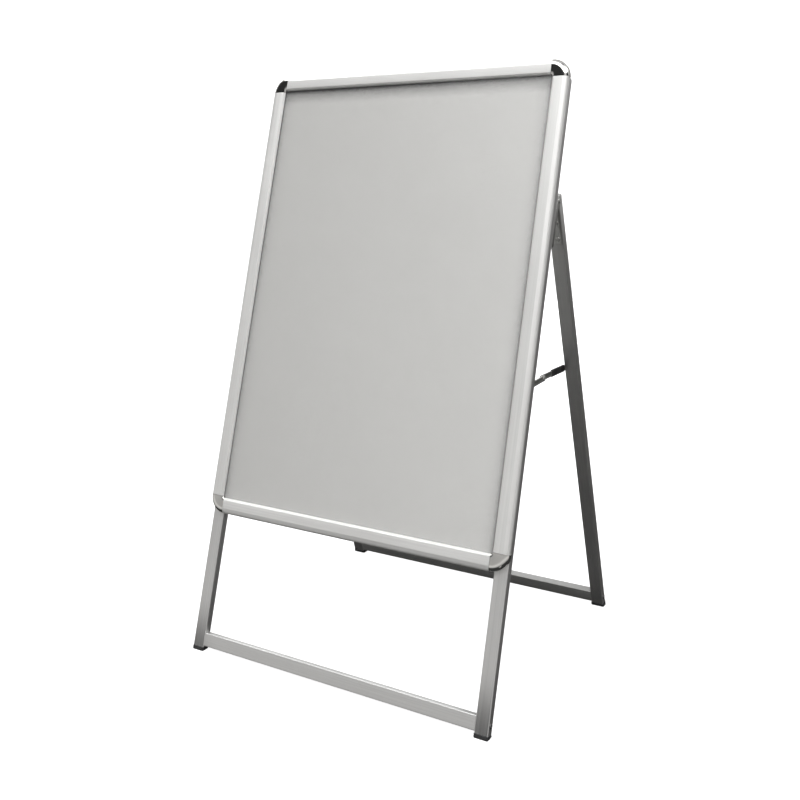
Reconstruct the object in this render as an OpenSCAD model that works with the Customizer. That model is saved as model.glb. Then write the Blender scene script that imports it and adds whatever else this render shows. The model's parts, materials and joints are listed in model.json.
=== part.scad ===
// Folding sandwich board: one snap poster frame on a stand of rectangular tubes.
// Origin: middle of the footprint at floor level. +X right, +Y backward, +Z up.
// The poster faces -Y and leans back; the rear legs lean forward to the hinges.

/* [Poster frame] */
// Width of the poster sheet
poster_w = 594; // [420:1:594]
// Height of the poster sheet
poster_h = 841; // [760:1:860]
// How far each rail laps over the poster
rail_lap = 7; // [6:0.5:8]
// Height of the poster frame's lower edge, measured up along the front legs
frame_low = 271; // [240:1:290]
// How far the snap covers swing open
snap_open = 90; // [60:1:90]
// Thickness of the clear cover sheet
cover_t = 0.7; // [0.4:0.1:0.7]
// Thickness of the backing panel
backing_t = 2; // [1.5:0.1:2]

/* [Stand] */
// Lean of the poster frame and front legs from upright, in degrees
front_lean = 16.6; // [15:0.1:18]
// Lean of the rear legs from upright, in degrees
rear_lean = 18; // [16.5:0.1:19]
// Width of every leg tube and height of every crossbar
tube_w = 25; // [24:0.5:26]
// Depth of every tube, front to back
tube_d = 15; // [14.5:0.5:16]
// Wall of every tube
tube_wall = 1.5; // [1.2:0.1:1.6]
// Chamfer along the tubes' long edges
tube_chamfer = 1; // [0.6:0.1:1.2]
// Inset of the front legs from the frame's sides
leg_inset = 3; // [2:0.5:6]
// Inset of the rear legs from the front legs, each side
rear_inset = 4.5; // [4:0.1:5]
// Lower edge of the front crossbar, along the legs
front_bar_v = 14; // [13.5:0.5:30]
// Lower edge of the rear crossbar, along the legs
rear_bar_s = 8.5; // [8:0.5:30]

/* [Fold hinge] */
// Height of the hinge pin, measured up along the front legs
hinge_v = 912; // [880:1:920]
// Distance from the pin's axis to the nearest face of each leg
hinge_gap = 9; // [8.8:0.1:10]
// Radius of the hinge pin
pin_r = 3; // [2.5:0.1:3.2]
// Length of each hinge plate below the pin
hinge_len = 83; // [70:1:90]
// Steel thickness of the hinge brackets
plate_t = 2; // [1.5:0.1:2]

/* [Stay] */
// Front pivot of each stay, up along the front leg
stay_front_v = 570; // [540:1:600]
// Rear pivot of each stay, up along the rear leg
stay_rear_s = 569; // [539:1:599]
// How far the knee stands above the line between the pivots
stay_rise = 3; // [2:0.1:5]
// Half width of the flat bar
link_half = 5.5; // [5:0.1:6]
// Thickness of the flat bar
link_t = 2.5; // [2:0.1:2.5]
// Radius of the stay's pivot rivets
rivet_r = 2.5; // [2:0.1:2.6]

/* [Feet and caps] */
// Overhang of the foot caps beyond the tubes
cap_over = 1; // [0.8:0.1:1.2]
// Depth of the plugs inside the tubes
plug_len = 10; // [8:1:11]

/* [Hidden] */
$fn = 48;

// Clearances: radial in a fitted hole, and between parts that pass each other
fit = 0.05;
gap = 0.3;

// Rail section: p is the distance in from the frame's outer edge, q the depth
// behind the rails' front face. Outlines are drawn as [q, p]. The face rounds off
// in a wide shoulder at the outer edge and in a smaller nose over the poster.
rail_w = 30;
frame_d = 14;
lip_q = 4.4;
frame_w = poster_w + 2 * (rail_w - rail_lap);
frame_h = poster_h + 2 * (rail_w - rail_lap);
frame_mid = frame_low + frame_h / 2;
corner_c = 33;
bead_q = 8.6;
bead_p = 2.4;
bead_r = 1.4;
socket_r = 1.48;
socket_rim_r = 2.45;
socket_from = -24;
shoulder_q = 6.2;
shoulder_p = 10;
shoulder_wall = 1.7;
nose_q = 3.5;
nose_p = 7;
lip_t = 1.4;
nose_inside = [
    for (a = [90 : -15 : 0])
        [nose_q - (nose_q - lip_t) * sin(a), rail_w - nose_p + (nose_p - lip_t) * cos(a)]
];
cover_skin = concat(
    [[lip_q, rail_w]],
    [for (a = [0 : 10 : 90]) [nose_q * (1 - sin(a)), rail_w - nose_p * (1 - cos(a))]],
    [for (a = [90 : -10 : 0]) [shoulder_q * (1 - sin(a)), shoulder_p * (1 - cos(a))]],
    [[6.8, 0]]
);
cover_inside = concat(
    [[7.3, 1.4], [7.9, 1.9], [7.9, 2.7], [6.4, 2.7]],
    [for (a = [25 : 13 : 90]) [
        shoulder_q - (shoulder_q - lip_t) * sin(a),
        shoulder_p - (shoulder_p - shoulder_wall) * cos(a)
    ]],
    nose_inside, [[lip_q, rail_w - lip_t]]
);
corner_inside = concat(
    [[frame_d, 0], [frame_d, 2], [7.2, 2], [2.8, 7.6], [2, 11.2]],
    nose_inside, [[lip_q, rail_w - lip_t]]
);

// Layers of the display, as depths behind the rails' front face
cover_q = 4.7;
poster_q = cover_q + cover_t + 0.1;
poster_t = 0.3;
seat_q = 8.2;
backing_q = seat_q - backing_t - fit;
sheet_p = rail_w - rail_lap;
backing_p = 20.5;

// Corner keys and the bosses that the corner screws hold
key_q = 9.8;
key_t = 2.6;
key_in = 15.6;
key_w = 10.8;
key_arm = 85;
key_screw = [63, key_in + key_w / 2];
boss_p = 14.5;
boss_r = 3.6;
screw_r = 1.6;
screw_head_r = 2.9;

// Leg positions
front_leg_x = frame_w / 2 - leg_inset;
front_in_x = front_leg_x - tube_w;
front_mid_x = front_leg_x - tube_w / 2;
rear_leg_x = front_leg_x - rear_inset;
rear_in_x = rear_leg_x - tube_w;
rear_mid_x = rear_leg_x - tube_w / 2;
leg_back = frame_d + tube_d;
front_tube_low = 11;
tube_drop = 33;
front_tube_top = frame_low + frame_h - tube_drop;
rear_tube_low = 6.5;

// Hinge axis in world coordinates, before the depth is centred
hinge_q = leg_back + hinge_gap;
hinge_y = hinge_v * sin(front_lean) + hinge_q * cos(front_lean);
hinge_z = hinge_v * cos(front_lean) - hinge_q * sin(front_lean);
hinge_s = (hinge_z + hinge_gap * sin(rear_lean)) / cos(rear_lean);
spread = hinge_y + hinge_s * sin(rear_lean) + hinge_gap * cos(rear_lean);
rear_tube_top = hinge_s + 2.5;
ear_r = 6.5;
knuckle_r = 5.5;
pin_head_r = 4.6;

// The footprint's middle, from the foot caps' outer edges on the floor
front_edge = (frame_d - cap_over) / cos(front_lean);
rear_edge = spread + (tube_d + cap_over) / cos(rear_lean);
y_mid = (front_edge + rear_edge) / 2;

// Stay pivots in world coordinates, as [y, z]
function panel_point(q, v) = [
    v * sin(front_lean) + q * cos(front_lean) - y_mid,
    v * cos(front_lean) - q * sin(front_lean)
];
function rear_point(t, s) = [
    spread - s * sin(rear_lean) + t * cos(rear_lean) - y_mid,
    s * cos(rear_lean) + t * sin(rear_lean)
];
stay_f = panel_point(frame_d + tube_d / 2, stay_front_v);
stay_r = rear_point(tube_d / 2, stay_rear_s);
stay_span = norm(stay_r - stay_f);
stay_normal = [-(stay_r - stay_f)[1], (stay_r - stay_f)[0]] / stay_span;
stay_k = (stay_f + stay_r) / 2 + stay_normal * stay_rise;
link_len = norm(stay_k - stay_f);
front_link_x = front_in_x - 0.6;
rear_link_x = rear_in_x - 0.4;
head_r = 5;
head_t = 1.5;
washer_r = 4.2;
sleeve_start = 48;
sleeve_end = 9;
sleeve_wall = 1.2;

steel_grey = [0.60, 0.60, 0.59];
zinc = [0.68, 0.68, 0.66];
black = [0.06, 0.06, 0.06];
light_grey = [0.70, 0.70, 0.69];
silver = [0.82, 0.82, 0.80];

// Places the front panel's own frame: X across, Y behind the rails' face, Z up the legs
module on_panel() {
    translate([0, -y_mid, 0]) rotate([-front_lean, 0, 0]) children();
}

// Places the rear legs' frame: Y behind their front face, Z up the legs
module on_rear() {
    translate([0, spread - y_mid, 0]) rotate([rear_lean, 0, 0]) children();
}

// Side 0 is the bottom rail, then 1 right, 2 top and 3 left
module rail_place(side) {
    half = side % 2 == 0 ? frame_h / 2 : frame_w / 2;
    on_panel() translate([0, 0, frame_mid]) rotate([0, -90 * side, 0])
        translate([0, 0, -half]) children();
}

// Bar along X from an outline drawn as [depth, inward]
module bar(len) {
    rotate([90, 0, 90]) linear_extrude(len, center = true) children();
}

function rail_len(side) = (side % 2 == 0 ? frame_w : frame_h) - 2 * (corner_c + gap);

// Point at an angle round the bead: 0 is towards the front, 90 is outward
function ray(angle, r) = [bead_q - r * cos(angle), bead_p - r * sin(angle)];

// Rectangle with chamfered corners, centred on the origin
module tube_outline(w, d, chamfer) {
    x = w / 2;
    y = d / 2;
    polygon([
        [x - chamfer, -y], [x, chamfer - y], [x, y - chamfer], [x - chamfer, y],
        [chamfer - x, y], [-x, y - chamfer], [-x, chamfer - y], [chamfer - x, -y]
    ]);
}

// Tube along Z from the origin
module tube(len) {
    linear_extrude(len) difference() {
        tube_outline(tube_w, tube_d, tube_chamfer);
        square([tube_w - 2 * tube_wall, tube_d - 2 * tube_wall], center = true);
    }
}

module cross_hole(len, r) {
    rotate([0, 90, 0]) cylinder(h = len, r = r, center = true);
}

module depth_hole(len, r) {
    rotate([90, 0, 0]) cylinder(h = len, r = r, center = true);
}

// ---- Poster frame ----

rivet_rows = [frame_low + 120, frame_mid, frame_low + frame_h - 120];
rivet_p = 22;
rivet_x = frame_w / 2 - rivet_p;
frame_rivet_r = 2.4;
frame_rivet_head = 0.9;

// Base rail: how far its back wall reaches, and the channel that the keys slide into
base_out = 2;
base_in = rail_w - 2;
base_t = 1.4;
channel_p = 14;
channel_wall = 1.2;

// The fixed half of a rail, with the socket that the snap cover turns in
module base_rail(side) {
    color(silver) rail_place(side) difference() {
        bar(rail_len(side)) union() {
            translate([frame_d - base_t, base_out]) square([base_t, base_in - base_out]);
            translate([seat_q, channel_p]) square([base_t, base_in - channel_p]);
            translate([seat_q, channel_p]) square([frame_d - seat_q, channel_wall]);
            translate([seat_q, base_in - channel_wall])
                square([frame_d - seat_q, channel_wall]);
            difference() {
                union() {
                    translate([bead_q, bead_p]) circle(socket_rim_r);
                    translate([bead_q + 1.7, bead_p - 0.5]) square([3, 1.5]);
                }
                translate([bead_q, bead_p]) circle(socket_r);
                polygon([
                    [bead_q, bead_p], ray(socket_from, 6), ray(30, 6), ray(80, 6),
                    ray(snap_open + 30, 6), ray(snap_open + 58, 6)
                ]);
            }
        }
        // Rivet holes where a side rail lies on a leg
        if (side % 2 == 1)
            for (v = rivet_rows)
                translate([(side == 1 ? 1 : -1) * (v - frame_mid), frame_d, rivet_p])
                    depth_hole(6, frame_rivet_r + fit);
        // Screw holes for the corner keys, which the legs would cover on the side rails
        if (side % 2 == 0)
            for (sx = [-1, 1])
                translate([sx * (frame_w / 2 - key_screw[0]), frame_d, key_screw[1]])
                    depth_hole(6, screw_r + fit);
    }
}

// The hinged half of a rail: a thin shell that ends in a round bead
module snap_cover(side) {
    color(silver) rail_place(side) bar(rail_len(side)) union() {
        polygon(concat(cover_skin, cover_inside));
        translate([bead_q, bead_p]) circle(bead_r);
    }
}

// Chrome corner: the rail's outline swept a quarter turn, with a screw boss behind
module corner_piece() {
    difference() {
        union() {
            translate([frame_w / 2 - corner_c, 0, corner_c - frame_h / 2]) rotate([-90, 0, 0])
                rotate_extrude(angle = 90)
                    polygon([for (e = concat(cover_skin, corner_inside)) [corner_c - e[1], e[0]]]);
            translate([frame_w / 2 - boss_p, 1.5, boss_p - frame_h / 2]) rotate([-90, 0, 0])
                cylinder(h = key_q - 1.5, r = boss_r);
        }
        translate([frame_w / 2 - boss_p, 3, boss_p - frame_h / 2]) rotate([-90, 0, 0])
            cylinder(h = key_q, r = screw_r);
    }
}

module corner_at(right, top) {
    color([0.42, 0.42, 0.41]) on_panel() translate([0, 0, frame_mid])
        mirror([right ? 0 : 1, 0, 0]) mirror([0, 0, top ? 1 : 0]) corner_piece();
}

module each_corner() {
    on_panel() translate([0, 0, frame_mid])
        for (mx = [0, 1], mz = [0, 1])
            mirror([mx, 0, 0]) mirror([0, 0, mz])
                translate([frame_w / 2, 0, -frame_h / 2]) children();
}

// L-shaped keys that slide into the base rails and join them under the corners
module corner_keys() {
    out = key_in + key_w;
    color(zinc) each_corner() difference() {
        translate([0, key_q + key_t, 0]) rotate([90, 0, 0]) linear_extrude(key_t)
            polygon([
                [-11, 11], [-11, 24], [-key_in, 24], [-key_in, key_arm], [-out, key_arm],
                [-out, out], [-key_arm, out], [-key_arm, key_in], [-24, key_in], [-24, 11]
            ]);
        translate([-boss_p, key_q, boss_p]) depth_hole(12, screw_r + fit);
        translate([-key_screw[0], key_q, key_screw[1]]) depth_hole(12, screw_r);
    }
}

module small_screw(len, head) {
    rotate([90, 0, 0]) {
        cylinder(h = len, r = screw_r - 0.02);
        translate([0, 0, -head]) cylinder(h = head, r = screw_head_r);
    }
}

// Small screws: one into each corner's boss and one through the rail into each key
module corner_screws() {
    color(zinc) each_corner() {
        translate([-boss_p, key_q + key_t, boss_p]) small_screw(8, 1.3);
        translate([-key_screw[0], frame_d, key_screw[1]]) small_screw(4, 0.8);
    }
}

// Bent leaf springs in the base rails' channels, which hold the covers shut
module snap_springs() {
    spring_len = 42;
    color(steel_grey) for (side = [0 : 3])
        rail_place(side)
            for (i = side % 2 == 0 ? [-1, 1] : [-1, 0, 1])
                translate([i * rail_len(side) * 0.36, 0, 0]) bar(spring_len)
                    polygon([
                        [12.4, 5.2], [12, 5.2], [9.2, 8.6], [9.2, 10.4], [12, 13.6], [12.4, 13.6],
                        [9.7, 10.2], [9.7, 8.8]
                    ]);
}

module sheet(inset, q, t) {
    on_panel() translate([inset - frame_w / 2, q, frame_low + inset])
        cube([frame_w - 2 * inset, t, frame_h - 2 * inset]);
}

module backing_panel() {
    color([0.75, 0.75, 0.74]) sheet(backing_p, backing_q, backing_t);
}

module poster_sheet() {
    color([0.80, 0.79, 0.77]) sheet(sheet_p, poster_q, poster_t);
}

module clear_cover() {
    color([0.86, 0.87, 0.87, 0.5]) sheet(sheet_p, cover_q, cover_t);
}

// ---- Front legs ----

module front_leg(s) {
    color(steel_grey) on_panel() difference() {
        translate([s * front_mid_x, frame_d + tube_d / 2, front_tube_low])
            tube(front_tube_top - front_tube_low);
        for (v = rivet_rows) translate([s * rivet_x, frame_d, v]) depth_hole(6, frame_rivet_r + fit);
        for (v = bracket_rows)
            translate([s * front_mid_x, leg_back, v]) depth_hole(6, rivet_r + fit);
        translate([s * front_in_x, frame_d + tube_d / 2, stay_front_v])
            cross_hole(6, rivet_r + fit);
        translate([s * front_mid_x, frame_d + tube_d / 2, front_bar_v + tube_w / 2])
            cross_hole(tube_w + 4, bar_screw_r + fit);
    }
}

module front_crossbar() {
    color(steel_grey) on_panel()
        translate([-front_in_x, frame_d + tube_d / 2, front_bar_v + tube_w / 2])
            rotate([0, 90, 0]) tube(2 * front_in_x);
}

// Blind rivets from the side rails into the legs' front walls
module frame_rivets() {
    color(zinc) on_panel() for (s = [-1, 1], v = rivet_rows)
        translate([s * rivet_x, frame_d - base_t, v]) rotate([-90, 0, 0]) {
            cylinder(h = 5, r = frame_rivet_r);
            translate([0, 0, -frame_rivet_head]) cylinder(h = frame_rivet_head, r = 4);
        }
}

// ---- Rear legs ----

module rear_leg(s) {
    color([0.24, 0.24, 0.24]) on_rear() difference() {
        translate([s * rear_mid_x, tube_d / 2, rear_tube_low])
            tube(rear_tube_top - rear_tube_low);
        for (v = leaf_rows) translate([s * leaf_mid_x, 0, v]) depth_hole(6, rivet_r + fit);
        translate([s * rear_mid_x, tube_d / 2, rear_bar_s + tube_w / 2])
            cross_hole(tube_w + 4, bar_screw_r + fit);
    }
}

module rear_crossbar() {
    color([0.24, 0.24, 0.24]) on_rear()
        translate([-rear_in_x, tube_d / 2, rear_bar_s + tube_w / 2])
            rotate([0, 90, 0]) tube(2 * rear_in_x);
}

// ---- Feet and plugs ----

plug_clear = 0.1;
plug_w = tube_w - 2 * tube_wall - 2 * plug_clear;
plug_d = tube_d - 2 * tube_wall - 2 * plug_clear;
plug_chamfer = 0.8;
floor_slab = 40;

// A cap around the tube's end, with its sole cut flat by the floor
module foot_body(tube_low) {
    height = 18;
    translate([0, 0, tube_low - height]) linear_extrude(height)
        tube_outline(tube_w + 2 * cap_over, tube_d + 2 * cap_over, tube_chamfer + 0.6);
    translate([0, 0, tube_low]) linear_extrude(plug_len)
        tube_outline(plug_w, plug_d, plug_chamfer);
}

module foot(s, front) {
    color(black) intersection() {
        if (front)
            on_panel() translate([s * front_mid_x, frame_d + tube_d / 2, 0])
                foot_body(front_tube_low);
        else
            on_rear() translate([s * rear_mid_x, tube_d / 2, 0]) foot_body(rear_tube_low);
        translate([-frame_w / 2, -spread, 0]) cube([frame_w, 2 * spread, floor_slab]);
    }
}

module top_plug_body() {
    linear_extrude(3) tube_outline(tube_w, tube_d, tube_chamfer);
    translate([0, 0, -plug_len]) linear_extrude(plug_len)
        tube_outline(plug_w, plug_d, plug_chamfer);
}

module top_plug_front(s) {
    color(light_grey) on_panel()
        translate([s * front_mid_x, frame_d + tube_d / 2, front_tube_top]) top_plug_body();
}

module top_plug_rear(s) {
    color(light_grey) on_rear()
        translate([s * rear_mid_x, tube_d / 2, rear_tube_top]) top_plug_body();
}

// ---- Crossbar screws ----

bar_screw_r = 2.4;
bar_screw_len = tube_w + 18;
bar_head_r = 4.6;
bar_head_t = 1.6;

module bar_screw() {
    rotate([0, 90, 0]) {
        cylinder(h = bar_head_t, r = bar_head_r);
        translate([0, 0, -bar_screw_len]) cylinder(h = bar_screw_len, r = bar_screw_r);
    }
}

module front_crossbar_screws() {
    color(zinc) on_panel() for (m = [0, 1]) mirror([m, 0, 0])
        translate([front_leg_x, frame_d + tube_d / 2, front_bar_v + tube_w / 2]) bar_screw();
}

module rear_crossbar_screws() {
    color(zinc) on_rear() for (m = [0, 1]) mirror([m, 0, 0])
        translate([rear_leg_x, tube_d / 2, rear_bar_s + tube_w / 2]) bar_screw();
}

// ---- Fold hinges ----

flange_q = 8;
bracket_low = hinge_v - hinge_len;
bracket_rows = [bracket_low + 14, bracket_low + 46];
leaf_t = 2.5;
leaf_low = hinge_s - hinge_len - 1;
leaf_rows = [leaf_low + 9, leaf_low + 40];
leaf_x0 = front_in_x + plate_t + gap + 0.2;
leaf_x1 = rear_leg_x - 0.5;
leaf_mid_x = (leaf_x0 + leaf_x1) / 2;

// Side outline of one bracket flange, drawn as [depth, height]
module flange_outline() {
    top = hinge_v + 5;
    polygon([
        [leg_back, bracket_low], [leg_back + flange_q, bracket_low],
        [leg_back + flange_q, hinge_v - 20], [hinge_q + ear_r - 0.3, hinge_v - 9],
        [hinge_q + ear_r - 0.3, hinge_v], [hinge_q - 4, top], [leg_back, top]
    ]);
    translate([hinge_q, hinge_v]) circle(ear_r);
}

// Channel riveted to the back of a front leg, with two ears that hold the pin
module hinge_bracket(s) {
    color(zinc) on_panel() mirror([s < 0 ? 1 : 0, 0, 0]) difference() {
        union() {
            for (x = [front_in_x, front_leg_x - plate_t])
                translate([x, 0, 0]) rotate([90, 0, 90]) linear_extrude(plate_t) flange_outline();
            translate([front_in_x + 1, leg_back, bracket_low])
                cube([tube_w - 2, plate_t, hinge_len - 12]);
        }
        translate([front_mid_x, hinge_q, hinge_v]) cross_hole(tube_w + 4, pin_r + 0.02);
        for (v = bracket_rows)
            translate([front_mid_x, leg_back, v]) depth_hole(8, rivet_r + fit);
    }
}

// Side outline of the rear leg's leaf, drawn as [depth, height]; its knuckle is round
module leaf_outline() {
    polygon([
        [0, leaf_low], [0, hinge_s - 6], [-3, hinge_s + 1.5], [-hinge_gap, hinge_s + knuckle_r - 0.3],
        [-hinge_gap - 3, hinge_s - 3], [-hinge_gap + 1, hinge_s - knuckle_r + 0.5],
        [-4.5, hinge_s - 8], [-leaf_t, hinge_s - 12], [-leaf_t, leaf_low]
    ]);
    translate([-hinge_gap, hinge_s]) circle(knuckle_r);
}

module hinge_leaf(s) {
    color([0.30, 0.30, 0.30]) on_rear() mirror([s < 0 ? 1 : 0, 0, 0]) difference() {
        translate([leaf_x0, 0, 0]) rotate([90, 0, 90]) linear_extrude(leaf_x1 - leaf_x0)
            leaf_outline();
        translate([leaf_mid_x, -hinge_gap, hinge_s]) cross_hole(tube_w + 4, pin_r + fit);
        for (v = leaf_rows) translate([leaf_mid_x, 0, v]) depth_hole(8, rivet_r + fit);
    }
}

module hinge_pin(s) {
    color(zinc) on_panel() mirror([s < 0 ? 1 : 0, 0, 0])
        translate([front_in_x, hinge_q, hinge_v]) rotate([0, 90, 0]) {
            cylinder(h = tube_w, r = pin_r);
            for (z = [-head_t, tube_w]) translate([0, 0, z]) cylinder(h = head_t, r = pin_head_r);
        }
}

// Button-headed rivets; the shank points into the tube
module face_rivet(shank) {
    rotate([90, 0, 0]) {
        cylinder(h = 1.4, r1 = 4.4, r2 = 3);
        translate([0, 0, -shank]) cylinder(h = shank, r = rivet_r);
    }
}

module bracket_rivets() {
    color(zinc) on_panel() for (s = [-1, 1], v = bracket_rows)
        translate([s * front_mid_x, leg_back + plate_t, v]) mirror([0, 1, 0]) face_rivet(5);
}

module leaf_rivets() {
    color(zinc) on_rear() for (s = [-1, 1], v = leaf_rows)
        translate([s * leaf_mid_x, -leaf_t, v]) face_rivet(5.5);
}

// ---- Stays ----

// Places a link's own frame: origin at its first pivot, +Y along the link
module along(from, to, s) {
    mirror([s < 0 ? 1 : 0, 0, 0]) translate([0, from[0], from[1]])
        rotate([atan2(to[1] - from[1], to[0] - from[0]), 0, 0]) children();
}

// Flat bar with round ends and a hole at each; its outer face lies at x_out
module flat_link(x_out, hole_a, hole_b) {
    translate([x_out - link_t, 0, 0]) rotate([90, 0, 90]) linear_extrude(link_t) difference() {
        union() {
            translate([0, 0.2 - link_half]) square([link_len, 2 * link_half - 0.4]);
            circle(link_half);
            translate([link_len, 0]) circle(link_half);
        }
        circle(hole_a);
        translate([link_len, 0]) circle(hole_b);
    }
}

module stay_front_link(s) {
    color(zinc) along(stay_f, stay_k, s) flat_link(front_link_x, rivet_r + fit, rivet_r + 0.02);
}

module stay_rear_link(s) {
    color(zinc) along(stay_k, stay_r, s) flat_link(rear_link_x, rivet_r + fit, rivet_r + 0.02);
}

// Pivot rivet in the front leg's inner wall, with a shoulder that spaces the link
module stay_pivot(s) {
    shank = 3.5 + front_in_x - front_link_x + link_t;
    color(zinc) along(stay_f, stay_k, s) translate([front_link_x - link_t, 0, 0])
        rotate([0, 90, 0]) {
            cylinder(h = shank, r = rivet_r);
            translate([0, 0, -head_t - 0.1]) cylinder(h = head_t, r = head_r);
            translate([0, 0, -0.2]) cylinder(h = 0.3, r = rivet_r);
            translate([0, 0, link_t + 0.1]) cylinder(h = 0.5, r = washer_r);
        }
}

// Knee rivet: heads on both sides and a washer between the two links
module stay_knee_rivet(s) {
    inner = rear_link_x - link_t;
    washer = front_link_x - link_t - rear_link_x;
    color(zinc) along(stay_k, stay_r, s) translate([inner, 0, 0]) rotate([0, 90, 0]) {
        cylinder(h = front_link_x - inner, r = rivet_r);
        translate([0, 0, -head_t - 0.1]) cylinder(h = head_t, r = head_r);
        translate([0, 0, -0.2]) cylinder(h = 0.3, r = rivet_r);
        translate([0, 0, link_t + 0.1]) cylinder(h = washer - 0.1, r = washer_r);
        translate([0, 0, front_link_x - inner]) cylinder(h = head_t, r = head_r);
    }
}

// Rear end rivet, carried by the link; it stops just short of the rear leg
module stay_end_rivet(s) {
    inner = rear_link_x - link_t;
    color(zinc) along(stay_k, stay_r, s) translate([inner, link_len, 0]) rotate([0, 90, 0]) {
        cylinder(h = link_t + 0.1, r = rivet_r);
        translate([0, 0, -head_t]) cylinder(h = head_t, r = head_r);
    }
}

// Black sleeve over the rear half of the stay
module stay_sleeve(s) {
    len = link_len - sleeve_start - sleeve_end;
    high = 2 * (link_half + sleeve_wall);
    color(black) along(stay_k, stay_r, s) difference() {
        translate([rear_link_x - link_t - sleeve_wall, sleeve_start, -high / 2])
            cube([link_t + 2 * sleeve_wall - 0.9, len, high]);
        translate([rear_link_x - link_t - 0.02, sleeve_start - 1, -link_half - 0.02])
            cube([link_t + 0.04, len + 2, 2 * link_half + 0.04]);
    }
}

base_rail(0);  // base_rail_bottom
base_rail(1);  // base_rail_right
base_rail(2);  // base_rail_top
base_rail(3);  // base_rail_left
snap_cover(0);  // snap_cover_bottom
snap_cover(1);  // snap_cover_right
snap_cover(2);  // snap_cover_top
snap_cover(3);  // snap_cover_left
corner_at(true, false);  // corner_bottom_right
corner_at(false, false);  // corner_bottom_left
corner_at(true, true);  // corner_top_right
corner_at(false, true);  // corner_top_left
corner_keys();
corner_screws();
snap_springs();
backing_panel();
poster_sheet();
clear_cover();
front_leg(1);  // front_leg_right
front_leg(-1);  // front_leg_left
front_crossbar();
frame_rivets();
rear_leg(1);  // rear_leg_right
rear_leg(-1);  // rear_leg_left
rear_crossbar();
foot(1, true);  // foot_front_right
foot(-1, true);  // foot_front_left
foot(1, false);  // foot_rear_right
foot(-1, false);  // foot_rear_left
top_plug_front(1);  // top_plug_front_right
top_plug_front(-1);  // top_plug_front_left
top_plug_rear(1);  // top_plug_rear_right
top_plug_rear(-1);  // top_plug_rear_left
front_crossbar_screws();
rear_crossbar_screws();
hinge_bracket(1);  // hinge_bracket_right
hinge_bracket(-1);  // hinge_bracket_left
hinge_leaf(1);  // hinge_leaf_right
hinge_leaf(-1);  // hinge_leaf_left
hinge_pin(1);  // hinge_pin_right
hinge_pin(-1);  // hinge_pin_left
bracket_rivets();
leaf_rivets();
stay_pivot(1);  // stay_pivot_right
stay_pivot(-1);  // stay_pivot_left
stay_front_link(1);  // stay_front_link_right
stay_front_link(-1);  // stay_front_link_left
stay_knee_rivet(1);  // stay_knee_rivet_right
stay_knee_rivet(-1);  // stay_knee_rivet_left
stay_rear_link(1);  // stay_rear_link_right
stay_rear_link(-1);  // stay_rear_link_left
stay_end_rivet(1);  // stay_end_rivet_right
stay_end_rivet(-1);  // stay_end_rivet_left
stay_sleeve(1);  // stay_sleeve_right
stay_sleeve(-1);  // stay_sleeve_left
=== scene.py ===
"""The sandwich board's visual model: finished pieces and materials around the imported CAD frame."""

import json
import math

import bmesh
import bpy
from mathutils import Matrix, Vector

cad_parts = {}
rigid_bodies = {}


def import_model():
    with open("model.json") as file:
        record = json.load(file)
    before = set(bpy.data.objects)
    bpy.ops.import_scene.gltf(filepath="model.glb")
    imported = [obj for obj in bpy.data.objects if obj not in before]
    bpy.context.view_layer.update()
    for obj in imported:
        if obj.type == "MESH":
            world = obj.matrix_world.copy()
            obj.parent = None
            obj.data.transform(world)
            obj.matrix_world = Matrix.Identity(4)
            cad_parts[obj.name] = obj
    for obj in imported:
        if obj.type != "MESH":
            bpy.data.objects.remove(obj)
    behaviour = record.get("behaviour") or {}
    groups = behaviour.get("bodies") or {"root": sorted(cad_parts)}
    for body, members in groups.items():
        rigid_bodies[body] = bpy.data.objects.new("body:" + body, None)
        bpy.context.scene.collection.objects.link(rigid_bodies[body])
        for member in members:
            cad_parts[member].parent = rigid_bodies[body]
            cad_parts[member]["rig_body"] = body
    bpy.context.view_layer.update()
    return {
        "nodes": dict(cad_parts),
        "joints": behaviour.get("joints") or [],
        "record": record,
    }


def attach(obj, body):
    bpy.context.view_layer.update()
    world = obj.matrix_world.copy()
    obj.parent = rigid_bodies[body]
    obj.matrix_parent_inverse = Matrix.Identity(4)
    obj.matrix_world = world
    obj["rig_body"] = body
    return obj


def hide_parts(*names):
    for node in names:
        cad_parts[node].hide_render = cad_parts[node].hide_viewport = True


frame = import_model()
NODES = frame["nodes"]
MM = 0.001
scene = bpy.context.scene

# ---------------------------------------------------------------- frames
# The front panel and the rear legs lean about X. Their own frames are turned by these.
joints = {j["name"]: j for j in frame["joints"]}
side_axis = Vector(joints["cover_right_snap"]["axis"])
LEAN = math.atan2(side_axis.y, side_axis.z)
REAR_LEAN = math.radians(joints["rear_stand_fold"]["range_deg"][1]) - LEAN
PANEL = Matrix.Rotation(-LEAN, 4, "X")
REAR = Matrix.Rotation(REAR_LEAN, 4, "X")
SIDES = ("bottom", "right", "top", "left")
HANDS = ("right", "left")


def at(x, y, z):
    """A move by millimetres."""
    return Matrix.Translation(Vector((x, y, z)) * MM)


def extent(points):
    """Lowest and highest corners of a set of points."""
    lo = Vector([min(p[i] for p in points) for i in range(3)])
    hi = Vector([max(p[i] for p in points) for i in range(3)])
    return lo, hi


def local_box(nodes, turn=Matrix()):
    """Lowest and highest corners of CAD nodes in a turned frame, in millimetres."""
    back = turn.inverted()
    lo, hi = extent([back @ v.co for n in nodes for v in NODES[n].data.vertices])
    return lo / MM, hi / MM


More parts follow.
